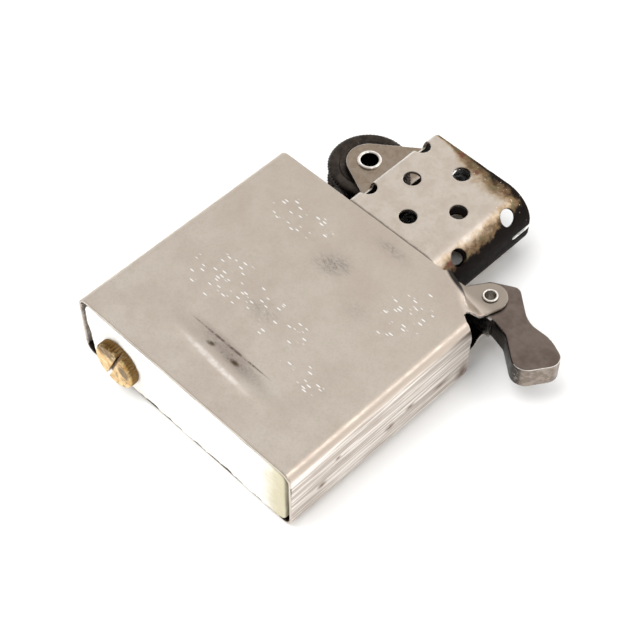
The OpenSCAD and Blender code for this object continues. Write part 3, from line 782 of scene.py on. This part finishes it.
def rivet_nickel(name, axis, bore, bore_painted_shading):
    """Bright nickel lips around a bore painted in the colour of the light and shade seen through it."""
    s = Shader(name)
    patches = s.noise(1.4, 5, 0.65)
    color = s.mix(s.span(patches, 0.35, 0.68), srgb(250, 246, 240), srgb(226, 218, 208))
    inside = s.spot((axis[0], axis[1], 0), (bore + 0.06, bore + 0.06, FAR), 0, 0.96)
    color = s.mix(inside, color, bore_painted_shading)
    rough = s.add(s.span(patches, 0.3, 0.7, 0.12, 0.24), s.mul(inside, 0.15))
    return s.finish(color, rough, 1.0, s.bump(patches, 0.05, 0.03))


def hollow_rivet(name, node, axis, bore, bore_painted_shading):
    """Tube with a rolled, domed lip at both ends."""
    low, high = box_mm(node)
    lip_r = (high[0] - low[0]) / 2
    half = (high[2] - low[2]) / 2
    roll = (lip_r - bore) / 2
    shank = bore + 0.6 * roll
    upper = [(shank, half - 1.6 * roll), (lip_r - 0.25 * roll, half - 1.5 * roll)]
    upper += arc_points(bore + roll, half - roll, roll, -25, 165, 14)
    upper += [(bore, half - 1.5 * roll)]
    lower = [(r, -h) for r, h in reversed(upper)]
    points, faces = lathe(upper + [(bore, 0)] + lower + [(shank, 0)], 72, (axis[0], axis[1], MID_Z))
    obj = make_object(name, points, faces)
    finish_piece(obj, "case", "bright_nickel", node, rivet_nickel(name, axis, bore, bore_painted_shading))


def build_wheel():
    """Wheel with a sunk web, fine outer teeth and a band of crossed teeth that strikes the flint."""
    low, high = box_mm("spark_wheel")
    outer = (high[0] - low[0]) / 2
    half = (high[2] - low[2]) / 2
    band = outer - 0.5
    bore = 1.43
    teeth, fine = 72, 82
    steps = teeth * 6

    def cut(radius, depth, count, phase=0.0):
        """Radius round the wheel with sharp teeth of a given depth."""
        def at(turn):
            wave = (turn * count / (2 * math.pi) + phase) % 1
            return radius - depth * np.clip(1.25 * np.abs(2 * wave - 1) - 0.1, 0, 1)
        return at

    side = [(bore, 0.0), (bore, half - 0.35), (bore + 0.1, half - 0.25),
            (3.72, half - 0.25), (3.86, half - 0.2), (3.93, half - 0.06), (4.05, half),
            (outer - 0.6, half), (outer - 0.46, half - 0.02)]
    rim = [(cut(outer - 0.3, 0.02, teeth), half - 0.12), (cut(outer - 0.12, 0.06, teeth), half - 0.24),
           (cut(outer, 0.12, teeth), half - 0.38), (cut(outer - 0.02, 0.12, teeth), half - 0.42)]
    edge_h = half - 0.45
    band_rows = 15
    middle = []
    for i in range(band_rows):
        h = edge_h - 2 * edge_h * i / (band_rows - 1)
        depth = 0.16 if 0 < i < band_rows - 1 else 0.05
        middle.append((cut(band, depth, fine, 0.22 * (i % 4)), h))
    mirrored = [(r, -h) for r, h in reversed(side + rim)][:-1]
    profile = side + rim + middle + mirrored
    points, faces = lathe(profile, steps, (WHEEL[0], WHEEL[1], MID_Z))
    obj = make_object("striker_wheel", points, faces)
    finish_piece(obj, "wheel", "wheel_steel", "spark_wheel")


def build_cam():
    """The CAD's cam with its outer edges rounded; the rivet's hole stays sharp."""
    edge_r, hole_reach = 0.38, 1.3
    obj = copy_nodes("cam_lever", ["cam"])
    build = bmesh.new()
    build.from_mesh(obj.data)
    bmesh.ops.dissolve_limit(build, angle_limit=math.radians(1), verts=build.verts, edges=build.edges)
    build.normal_update()
    outer = [e for e in build.edges if len(e.link_faces) == 2 and e.calc_face_angle() > math.radians(60)
             and (e.verts[0].co.xy - Vector(CAM[:2])).length > hole_reach]
    bmesh.ops.bevel(build, geom=outer, offset=edge_r, segments=5, profile=0.5, affect="EDGES",
                    clamp_overlap=True)
    build.to_mesh(obj.data)
    build.free()
    refine(obj, voxel=0.11, relax=3)
    finish_piece(obj, "lever", "cam_steel", "cam")


# ---------------------------------------------------------------- flint column

def build_screw():
    """Knurled head with a screwdriver slot, on a threaded shank."""
    head_r = (SCREW_HIGH[0] - SCREW_LOW[0]) / 2
    face, end = SCREW_LOW[1], SCREW_HIGH[1]
    rear, shank_r, pitch, thread_wave, knurls = face + 1.4, 1.7, 0.5, 0.13, 44
    slot_width, slot_depth, slot_turn = 0.5, 0.8, 25
    edge_r = 0.18
    steps = knurls * 8

    def knurl(radius, depth):
        return lambda turn: radius - depth * np.abs(np.cos(turn * knurls / 2)) ** 1.5

    def thread(y):
        return lambda turn: shank_r - thread_wave * (1 - np.cos(turn - 2 * math.pi * y / pitch))

    profile = [(0.001, face), (head_r * 0.5, face), (head_r - 0.3, face)]
    *rounding, (last_r, last_y), (_, end_y) = arc_points(head_r - 0.3, face + edge_r, edge_r, -80, -10, 5)
    profile += rounding + [(knurl(last_r + 0.02, 0.05), last_y), (knurl(head_r - 0.06, 0.1), end_y)]
    profile += [(knurl(head_r, 0.15), face + 0.26), (knurl(head_r, 0.15), rear - 0.12),
                (knurl(head_r - 0.1, 0.1), rear - 0.02), (head_r - 0.25, rear), (shank_r + 0.1, rear)]
    row = pitch / 8
    thread_y = [rear + 0.1 + row * i for i in range(int((end - rear - 0.4) / row))]
    profile += [(thread(y), y) for y in thread_y]
    profile += [(shank_r - 0.35, end - 0.1), (shank_r - 0.5, end), (0.001, end)]
    points, faces = lathe(profile, steps, (WHEEL[0], 0, MID_Z), "y", close=False)
    faces = [tuple(reversed(f)) for f in faces]
    obj = make_object("slotted_screw", points, faces)
    last = len(points) - steps
    build = bmesh.new()
    build.from_mesh(obj.data)
    build.verts.ensure_lookup_table()
    build.faces.new([build.verts[i] for i in range(steps)])
    build.faces.new([build.verts[last + i] for i in reversed(range(steps))])
    bmesh.ops.recalc_face_normals(build, faces=build.faces)
    build.to_mesh(obj.data)
    build.free()
    cutter_build = bmesh.new()
    place = Matrix.Translation(Vector((WHEEL[0], face, MID_Z)) * MM)
    place @= Matrix.Rotation(math.radians(slot_turn), 4, "Y")
    size = Matrix.Diagonal((slot_width * MM, 2 * slot_depth * MM, 3 * head_r * MM, 1))
    bmesh.ops.create_cube(cutter_build, size=1, matrix=place @ size)
    cutter = bpy.data.objects.new("slot_cutter", bpy.data.meshes.new("slot_cutter"))
    cutter_build.to_mesh(cutter.data)
    cutter_build.free()
    bpy.context.scene.collection.objects.link(cutter)
    slot = obj.modifiers.new("slot", "BOOLEAN")
    slot.object = cutter
    slot.solver = "EXACT"
    soften = obj.modifiers.new("soften", "BEVEL")
    soften.width = 0.05 * MM
    soften.segments = 2
    soften.limit_method = "ANGLE"
    soften.angle_limit = math.radians(62)
    apply_modifiers(obj)
    bpy.data.objects.remove(cutter)
    obj.data.shade_smooth()
    obj.data.set_sharp_from_angle(angle=math.radians(40))
    finish_piece(obj, "screw", "brass", "flint_screw")


def build_spring():
    """Wound wire that fills the flint spring's box."""
    low, high = box_mm("flint_spring")
    wire, turns = 0.17, 26
    radius = (high[0] - low[0]) / 2 - wire
    t = np.linspace(0, turns * 2 * math.pi, turns * 28)
    y = low[1] + wire + (high[1] - low[1] - 2 * wire) * t / t[-1]
    path = np.stack([WHEEL[0] + radius * np.cos(t), y, MID_Z + radius * np.sin(t)], 1)
    obj = make_object("coil_spring", *tube(path, wire, 10))
    finish_piece(obj, "screw_spring", "spring_steel", "flint_spring")
    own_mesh(obj)


# ---------------------------------------------------------------- soft parts

def fuzz(points, scale, height, seed):
    """Moves points along a noise vector, for matted fibre."""
    out = points.copy()
    for i, p in enumerate(points):
        out[i] += height * np.array(noise.noise_vector(Vector(p) * scale + Vector((seed, 0, 0))))
    return out


def shape_felt(points):
    """Matted surface, swollen at the open face and drawn in at the wheel end."""
    p = points.copy()
    x, y, z = p.T
    half = (PAD_HIGH[2] - PAD_LOW[2]) / 2
    across = np.clip(1 - ((z - MID_Z) / half) ** 2, 0, 1)
    outer = np.clip((PAD_HIGH[1] - y) / (PAD_HIGH[1] - PAD_LOW[1]), 0, 1)
    hump = 0.22 + 0.13 * np.sin(0.55 * x + 1.0) + 0.08 * np.sin(1.3 * x)
    p[:, 1] -= hump * (0.3 + 0.7 * across) * outer
    p[:, 2] = MID_Z + (z - MID_Z) * (1 + 0.03 * outer)
    low_end = np.clip((PAD_FIXED_LOW[0] + 2.0 - x) / 2.0, 0, 1)
    p[:, 0] += low_end * (0.35 + 0.55 * np.clip((MID_Z + 3 - z) / 5, 0, 1)) * outer
    return fuzz(fuzz(p, 0.7, 0.10, 3), 2.6, 0.06, 8)


def build_felt():
    """One felt pad over both CAD halves, with the cut between them filled."""
    overlap, half_bend = 0.2, (1.4, 0, 0)
    obj = copy_nodes("felt_pad", ["felt_pad_fixed", "felt_pad_flap"])
    gap_low, gap_high = PAD_FIXED_HIGH[0] - overlap, PAD_LOW[0] + overlap
    build = bmesh.new()
    build.from_mesh(obj.data)
    middle = ((gap_low + gap_high) / 2, (PAD_LOW[1] + PAD_HIGH[1]) / 2, MID_Z)
    size = (gap_high - gap_low, PAD_HIGH[1] - PAD_LOW[1], PAD_HIGH[2] - PAD_LOW[2])
    bmesh.ops.create_cube(build, size=1, matrix=Matrix.Translation(middle) @ Matrix.Diagonal((*size, 1)))
    build.to_mesh(obj.data)
    build.free()
    refine(obj, voxel=0.16, relax=3, shape=shape_felt)
    obj.data.materials.clear()
    obj.data.materials.append(MATERIALS["felt"])
    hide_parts("felt_pad_fixed", "felt_pad_flap")
    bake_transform(obj)


def wick_path():
    """Centre line of the wick, from its frayed tip down the chimney, aside, and down between the wadding."""
    low, high = box_mm("wick")
    radius = (high[2] - low[2]) / 2
    x0, x1 = low[0] + radius, high[0] - radius
    tip_y = high[1] + 0.6
    level, bend, step = 9.0, 2.0, 0.25
    line = [(x0, y) for y in np.arange(tip_y, level + bend, -step)]
    line += arc_points(x0 + bend, level + bend, bend, 180, 270, 12)
    line += [(x, level) for x in np.arange(x0 + bend, x1 - bend, step)]
    line += arc_points(x1 - bend, level - bend, bend, 90, 0, 12)
    line += [(x1, y) for y in np.arange(level - bend, low[1], -step)]
    return np.array([(x, y, MID_Z) for x, y in line]), radius


def build_wick():
    """Braid of round strands wound both ways about the centre line, frayed and charred at the top."""
    path, radius = wick_path()
    random.seed(SEED)
    length = np.concatenate([[0], np.cumsum(np.linalg.norm(np.diff(path, axis=0), axis=1))])
    along = np.gradient(path, axis=0)
    along /= np.linalg.norm(along, axis=1)[:, None]
    side = np.cross(along, [0, 0, 1.0])
    strands = []
    count, winding = 6, 1.1
    strand_r = radius * 0.3
    flare = 1 + 0.45 * np.exp(-length / 1.6)
    for direction in (1, -1):
        for k in range(count):
            angle = direction * length * winding + 2 * math.pi * k / count
            wave = 0.06 * radius * np.sin(count * length * winding + math.pi * (k + (direction > 0)))
            out = (radius - strand_r + wave - 0.02) * flare
            offset = np.cos(angle)[:, None] * side + np.sin(angle)[:, None] * np.array([0, 0, 1.0])
            strands.append(tube(path + out[:, None] * offset, strand_r, 8))
    top = path[0]
    hairs = 110
    for _ in range(hairs):
        angle, reach = random.uniform(0, 2 * math.pi), random.uniform(0.2, 1.25) * radius
        root = top + np.array([reach * math.cos(angle), -0.9, reach * math.sin(angle)])
        lean = np.array([random.uniform(-0.4, 0.4), 1.0, random.uniform(-0.4, 0.4)])
        hair = [root + lean * 0.35 * i + np.random.default_rng(i).normal(0, 0.02, 3) for i in range(5)]
        strands.append(tube(hair, np.linspace(0.11, 0.03, 5), 5))
    core = tube(path, radius * 0.72, 12)
    obj = make_object("braided_wick", *join_parts([core] + strands))
    finish_piece(obj, "case", "wick_cotton", "wick")


def build_wad(node, seed):
    """Loose cotton pressed into a pillow."""
    obj = copy_nodes(node.replace("cotton_wad", "wadding"), [node])
    refine(obj, voxel=0.3, relax=6, shape=lambda p: fuzz(fuzz(p, 0.25, 0.25, seed), 1.1, 0.14, seed + 5))
    finish_piece(obj, "case", "cotton", node)


# ---------------------------------------------------------------- floor, light, camera

CAMERA_TURN = 44.97
CAMERA_RISE = 53.09
CAMERA_DISTANCE = 0.19675
SENSOR_MM, LENS_MM = 36, 91.5384375
LOOK_OFFSET = Vector((-0.0022725, -0.003795, 0.0005))


def view_direction(turn, rise):
    """Unit vector from the object towards a viewer."""
    a, e = math.radians(turn), math.radians(rise)
    return Vector((math.sin(a) * math.cos(e), -math.cos(a) * math.cos(e), math.sin(e)))


def object_centre():
    """Middle of the CAD's box."""
    low, high = (Vector(corner) for corner in cad_bounds)
    return (low + high) / 2


def build_camera():
    data = bpy.data.cameras.new("camera")
    data.sensor_width = SENSOR_MM
    data.lens = LENS_MM
    data.clip_start = 0.005
    camera = bpy.data.objects.new("camera", data)
    bpy.context.scene.collection.objects.link(camera)
    target = object_centre() + LOOK_OFFSET
    back = view_direction(CAMERA_TURN, CAMERA_RISE)
    camera.location = target + back * CAMERA_DISTANCE
    camera.rotation_euler = back.to_track_quat("Z", "Y").to_euler()
    bpy.context.scene.camera = camera


def build_floor():
    """White paper just under the object."""
    half, gap = 3.0, 0.02 * MM
    mesh = bpy.data.meshes.new("floor")
    corners = [(-half, -half, 0), (half, -half, 0), (half, half, 0), (-half, half, 0)]
    mesh.from_pydata(corners, [], [(0, 1, 2, 3)])
    floor = bpy.data.objects.new("floor", mesh)
    floor.location = (0, 0, cad_bounds[0][2] - gap)
    bpy.context.scene.collection.objects.link(floor)
    s = Shader("floor_paper")
    mesh.materials.append(s.finish((0.93, 0.93, 0.925), 0.9, 0.0))


def area_light(name, turn, rise, distance, size, power):
    """Soft lamp that only lights matt surfaces; the metal mirrors the studio walls instead."""
    data = bpy.data.lights.new(name, "AREA")
    data.shape = "DISK"
    data.size = size
    data.energy = power
    light = bpy.data.objects.new(name, data)
    direction = view_direction(turn, rise)
    light.location = object_centre() + direction * distance
    light.rotation_euler = direction.to_track_quat("Z", "Y").to_euler()
    light.visible_glossy = False
    bpy.context.scene.collection.objects.link(light)


def build_light():
    """White studio with two bright lobes that show in the metal, and two lamps for the matt parts."""
    world = bpy.data.worlds.new("studio")
    world.use_nodes = True
    bpy.context.scene.world = world
    tree = world.node_tree
    background = tree.nodes["Background"]
    background.inputs["Color"].default_value = (1, 0.995, 0.985, 1)
    coords = tree.nodes.new("ShaderNodeTexCoord")

    def glow(direction, low, high, dark, bright):
        """Brightness that grows as the view turns towards a direction; low and high are cosines."""
        dot = tree.nodes.new("ShaderNodeVectorMath")
        dot.operation = "DOT_PRODUCT"
        tree.links.new(coords.outputs["Generated"], dot.inputs[0])
        dot.inputs[1].default_value = direction
        ramp = tree.nodes.new("ShaderNodeMapRange")
        ramp.inputs["From Min"].default_value = low
        ramp.inputs["From Max"].default_value = high
        ramp.inputs["To Min"].default_value = dark
        ramp.inputs["To Max"].default_value = bright
        tree.links.new(dot.outputs["Value"], ramp.inputs["Value"])
        return ramp.outputs[0]

    total = glow((0, 1, 0), -0.5, 1.0, 0.45, 1.35)
    for turn, rise, wide, bright in ((131, 50, 11, 2.5), (70, 60, 9, 3.0)):
        outer, inner = math.cos(math.radians(wide)), math.cos(math.radians(wide * 0.6))
        lobe = glow(view_direction(turn, rise), outer, inner, 0.0, bright)
        node = tree.nodes.new("ShaderNodeMath")
        node.operation = "ADD"
        tree.links.new(total, node.inputs[0])
        tree.links.new(lobe, node.inputs[1])
        total = node.outputs[0]
    tree.links.new(total, background.inputs["Strength"])
    area_light("key", turn=314, rise=66, distance=0.5, size=0.42, power=1.8)
    area_light("fill", turn=5, rise=22, distance=0.5, size=0.2, power=1.0)


# ---------------------------------------------------------------- build everything

bpy.context.scene.view_settings.view_transform = "Standard"
dress_cad_nodes()
build_shell()
build_chimney()
build_top_plate()
# Bore colours are painted: shade in the wheel eyelet, light in the cam eyelet.
hollow_rivet("wheel_eyelet", "wheel_rivet", WHEEL, bore=1.14, bore_painted_shading=srgb(18, 15, 13))
hollow_rivet("cam_eyelet", "cam_rivet", CAM, bore=0.7, bore_painted_shading=srgb(225, 220, 214))
build_wheel()
build_cam()
build_screw()
build_spring()
build_felt()
build_wick()
for index in range(1, 6):
    build_wad(f"cotton_wad_{index}", 10 * index)
build_floor()
build_light()
build_camera()
